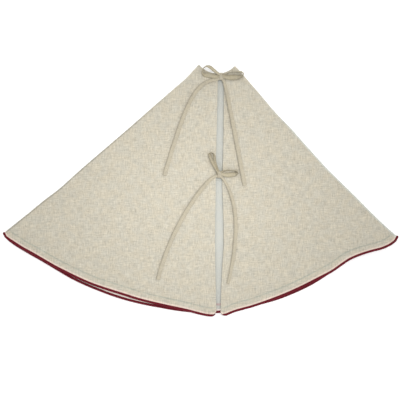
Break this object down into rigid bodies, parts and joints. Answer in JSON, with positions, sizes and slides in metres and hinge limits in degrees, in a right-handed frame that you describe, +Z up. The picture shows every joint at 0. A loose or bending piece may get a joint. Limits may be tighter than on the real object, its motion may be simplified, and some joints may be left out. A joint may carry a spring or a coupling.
{
  "type": "tree skirt",
  "caption": "Round lined linen-look tree skirt, folded in quarters, with corded red piping on the hem, an open front slit and ties in bows.",
  "frame": {"origin": "middle of the box round the folded skirt, on the surface that it lies on", "axes": "+Z up off the surface, +Y from the hem towards the neck along the slit, +X to the right seen from above"},
  "size_m": [0.9157, 0.5796, 0.0246],
  "materials": {
    "face_cloth": "natural linen-look plain weave with slubs",
    "lining_cloth": "plain pale cotton lining",
    "piping_cloth": "burgundy bias-cut cotton",
    "filler_cord": "undyed cotton cord",
    "tie_cloth": "the face cloth, folded and stitched into narrow ties",
    "thread": "matching sewing thread"
  },
  "bodies": {
    "folded_back": {"second_layer_face": "face_cloth", "second_layer_lining": "lining_cloth", "second_layer_piping": "piping_cloth", "second_layer_filler": "filler_cord", "third_layer_face": "face_cloth", "third_layer_lining": "lining_cloth", "third_layer_piping": "piping_cloth", "third_layer_filler": "filler_cord", "bottom_layer_face": "face_cloth", "bottom_layer_lining": "lining_cloth", "bottom_layer_piping": "piping_cloth", "bottom_layer_filler": "filler_cord", "left_front_fold_face": "face_cloth", "left_front_fold_lining": "lining_cloth", "left_front_fold_piping": "piping_cloth", "left_back_fold_face": "face_cloth", "left_back_fold_lining": "lining_cloth", "left_back_fold_piping": "piping_cloth", "right_inner_fold_face": "face_cloth", "right_inner_fold_lining": "lining_cloth", "right_inner_fold_piping": "piping_cloth", "right_outer_fold_face": "face_cloth", "right_outer_fold_lining": "lining_cloth", "right_outer_fold_piping": "piping_cloth"},
    "left_front_panel": {"front_left_face": "face_cloth", "front_left_lining": "lining_cloth", "front_left_piping": "piping_cloth", "front_left_filler": "filler_cord", "front_left_topstitch": "thread", "upper_left_tie_end": "tie_cloth", "upper_left_knot": "tie_cloth", "upper_left_loop": "tie_cloth", "lower_left_tie_end": "tie_cloth", "lower_left_knot": "tie_cloth", "lower_left_loop": "tie_cloth"},
    "right_front_panel": {"front_right_face": "face_cloth", "front_right_lining": "lining_cloth", "front_right_piping": "piping_cloth", "front_right_filler": "filler_cord", "front_right_topstitch": "thread", "upper_right_tie_end": "tie_cloth", "upper_right_knot": "tie_cloth", "upper_right_loop": "tie_cloth", "lower_right_tie_end": "tie_cloth", "lower_right_knot": "tie_cloth", "lower_right_loop": "tie_cloth"},
    "upper_left_tail": {"upper_left_tail": "tie_cloth"},
    "upper_right_tail": {"upper_right_tail": "tie_cloth"},
    "lower_left_tail": {"lower_left_tail": "tie_cloth"},
    "lower_right_tail": {"lower_right_tail": "tie_cloth"}
  },
  "joints": [
    {"name": "left_front_fold", "type": "hinge", "parent": "folded_back", "child": "left_front_panel", "pos_m": [-0.21315, 0.10415, 0.0133], "axis": [-0.757, -0.6534, 0], "range_deg": [0, 178], "deforming": ["left_front_fold_face", "left_front_fold_lining", "left_front_fold_piping"]},
    {"name": "right_front_fold", "type": "hinge", "parent": "folded_back", "child": "right_front_panel", "pos_m": [0.26423, 0.08081, 0.0083], "axis": [-0.6896, 0.7242, 0], "range_deg": [0, 178], "deforming": ["right_outer_fold_face", "right_outer_fold_lining", "right_outer_fold_piping"]},
    {"name": "upper_left_tail_lift", "type": "hinge", "parent": "left_front_panel", "child": "upper_left_tail", "pos_m": [0.03425, 0.25563, 0.0169], "axis": [-0.882, 0.4712, 0], "range_deg": [0, 70]},
    {"name": "upper_right_tail_lift", "type": "hinge", "parent": "right_front_panel", "child": "upper_right_tail", "pos_m": [0.05137, 0.24725, 0.0169], "axis": [-0.9809, -0.1945, 0], "range_deg": [0, 70]},
    {"name": "lower_left_tail_lift", "type": "hinge", "parent": "left_front_panel", "child": "lower_left_tail", "pos_m": [0.02808, 0.03042, 0.0169], "axis": [-0.8797, 0.4754, 0], "range_deg": [0, 70]},
    {"name": "lower_right_tail_lift", "type": "hinge", "parent": "right_front_panel", "child": "lower_right_tail", "pos_m": [0.05051, 0.02528, 0.0169], "axis": [-0.9991, -0.042, 0], "range_deg": [0, 70]}
  ]
}
